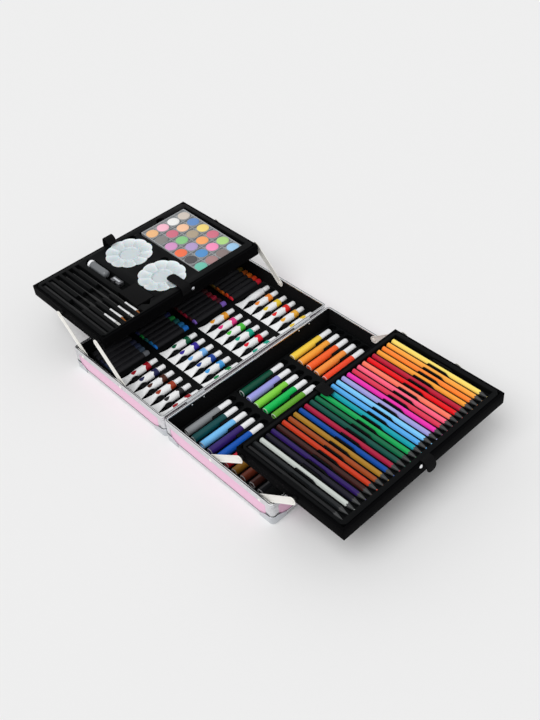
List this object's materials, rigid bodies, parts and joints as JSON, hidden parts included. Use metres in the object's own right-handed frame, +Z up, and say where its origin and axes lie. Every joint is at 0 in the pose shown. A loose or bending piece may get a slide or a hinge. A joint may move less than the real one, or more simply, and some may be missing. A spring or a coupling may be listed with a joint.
{
  "type": "art set case",
  "caption": "Two-part framed art case lying open, with a tray on parallel arms over each half and drawing and painting things in moulded inserts.",
  "frame": {"origin": "centre of the right half's underside, on the table", "axes": "+X across the hinge from the left to the right half, +Y along the hinge from the near to the far end, +Z up"},
  "size_m": [0.7279, 0.3598, 0.1065],
  "materials": {
    "aluminium_frame": "satin, fine lines along its length",
    "chromed_steel": "bright",
    "arm_steel": "pale silver, satin",
    "pink_laminate": "satin, fine grain",
    "black_lining": "matt, close nap",
    "black_moulding": "matt with a fine grain",
    "black_board": "black paper over board",
    "black_webbing": "matt woven tape",
    "black_plastic": "satin",
    "marker_plastic": "glossy, one colour a marker, white caps",
    "tube_laminate": "white with a coloured band and drop",
    "crayon_wax": "black paper wrapper, coloured ends",
    "pencil_wood": "lacquered, one colour a pencil, dark cone",
    "clear_box": "grey base under a clear cover",
    "paint_cake": "pressed colour, one a pan",
    "white_plastic": "satin white",
    "brush_hair": "brown hair",
    "white_ferrule": "white"
  },
  "bodies": {
    "right_half": {"right_side_panels": "pink_laminate", "right_floor_panel": "pink_laminate", "right_lining": "black_lining", "right_rim_extrusion": "aluminium_frame", "right_bottom_angle": "aluminium_frame", "right_corner_posts": "aluminium_frame", "right_corner_protectors": "chromed_steel", "right_hinge_leaves": "chromed_steel", "hinge_pins": "chromed_steel", "right_case_rivets": "chromed_steel", "marker_insert": "black_moulding", "markers_near_row": "marker_plastic", "markers_middle_row": "marker_plastic", "markers_far_row": "marker_plastic", "handle_brackets": "chromed_steel", "latch_plates": "chromed_steel"},
    "left_half": {"left_side_panels": "pink_laminate", "left_floor_panel": "pink_laminate", "left_lining": "black_lining", "left_rim_extrusion": "aluminium_frame", "left_bottom_angle": "aluminium_frame", "left_corner_posts": "aluminium_frame", "left_corner_protectors": "chromed_steel", "left_hinge_leaves": "chromed_steel", "left_case_rivets": "chromed_steel", "paint_insert": "black_moulding", "paint_tubes_row_1": "tube_laminate", "paint_tubes_row_2": "tube_laminate", "paint_tubes_row_3": "tube_laminate", "paint_tubes_row_4": "tube_laminate", "crayons": "crayon_wax", "latch_strikes": "chromed_steel"},
    "right_inner_arm_pair": {"right_inner_arms": "arm_steel"},
    "right_outer_arm_pair": {"right_outer_arms": "arm_steel"},
    "right_tray": {"pencil_tray_box": "black_board", "pencil_tray_insert": "black_moulding", "coloured_pencils": "pencil_wood", "pencil_tray_straps": "black_webbing", "right_tray_rivets": "chromed_steel"},
    "left_inner_arm_pair": {"left_inner_arms": "arm_steel"},
    "left_outer_arm_pair": {"left_outer_arms": "arm_steel"},
    "left_tray": {"palette_tray_box": "black_board", "palette_tray_insert": "black_moulding", "mixing_palettes": "white_plastic", "watercolour_box": "clear_box", "watercolour_pans": "paint_cake", "brush_handles": "black_plastic", "brush_ferrules": "white_ferrule", "brush_tufts": "brush_hair", "dark_pencils": "black_plastic", "glue_tube": "clear_box", "sharpener": "aluminium_frame", "black_box": "black_board", "palette_tray_straps": "black_webbing", "left_tray_rivets": "chromed_steel"},
    "carrying_handle": {"handle": "black_plastic"},
    "near_latch": {"latch_hasp_near": "chromed_steel"},
    "far_latch": {"latch_hasp_far": "chromed_steel"}
  },
  "joints": [
    {"name": "case_hinge", "type": "hinge", "parent": "right_half", "child": "left_half", "pos_m": [-0.121, 0, 0.042], "axis": [0, 1, 0], "range_deg": [0, 135]},
    {"name": "right_lift", "type": "hinge", "parent": "right_half", "child": "right_inner_arm_pair", "pos_m": [-0.0105, 0, 0.0345], "axis": [0, -1, 0], "range_deg": [0, 148.13]},
    {"name": "right_outer_swing", "type": "hinge", "parent": "right_half", "child": "right_outer_arm_pair", "pos_m": [0.094, 0, 0.0345], "axis": [0, -1, 0], "range_deg": [0, 148.13]},
    {"name": "right_tray_level", "type": "hinge", "parent": "right_inner_arm_pair", "child": "right_tray", "pos_m": [0.0527, 0, 0.0819], "axis": [0, -1, 0], "range_deg": [-148.13, 0]},
    {"name": "left_lift", "type": "hinge", "parent": "left_half", "child": "left_inner_arm_pair", "pos_m": [-0.2315, 0, 0.0345], "axis": [0, 1, 0], "range_deg": [-7.93, 140.2]},
    {"name": "left_outer_swing", "type": "hinge", "parent": "left_half", "child": "left_outer_arm_pair", "pos_m": [-0.336, 0, 0.0345], "axis": [0, 1, 0], "range_deg": [-7.93, 140.2]},
    {"name": "left_tray_level", "type": "hinge", "parent": "left_inner_arm_pair", "child": "left_tray", "pos_m": [-0.28756, 0, 0.09017], "axis": [0, 1, 0], "range_deg": [-140.2, 7.93]},
    {"name": "handle_swing", "type": "hinge", "parent": "right_half", "child": "carrying_handle", "pos_m": [0.126, 0, 0.027], "axis": [0, -1, 0], "range_deg": [0, 150]},
    {"name": "near_latch_swing", "type": "hinge", "parent": "right_half", "child": "near_latch", "pos_m": [0.123, -0.11, 0.028], "axis": [0, -1, 0], "range_deg": [0, 175]},
    {"name": "far_latch_swing", "type": "hinge", "parent": "right_half", "child": "far_latch", "pos_m": [0.123, 0.11, 0.028], "axis": [0, -1, 0], "range_deg": [0, 175]}
  ],
  "couplings": [
    {"joint": "right_outer_swing", "follows": "right_lift", "ratio": 1},
    {"joint": "right_tray_level", "follows": "right_lift", "ratio": -1},
    {"joint": "left_outer_swing", "follows": "left_lift", "ratio": 1},
    {"joint": "left_tray_level", "follows": "left_lift", "ratio": -1}
  ]
}
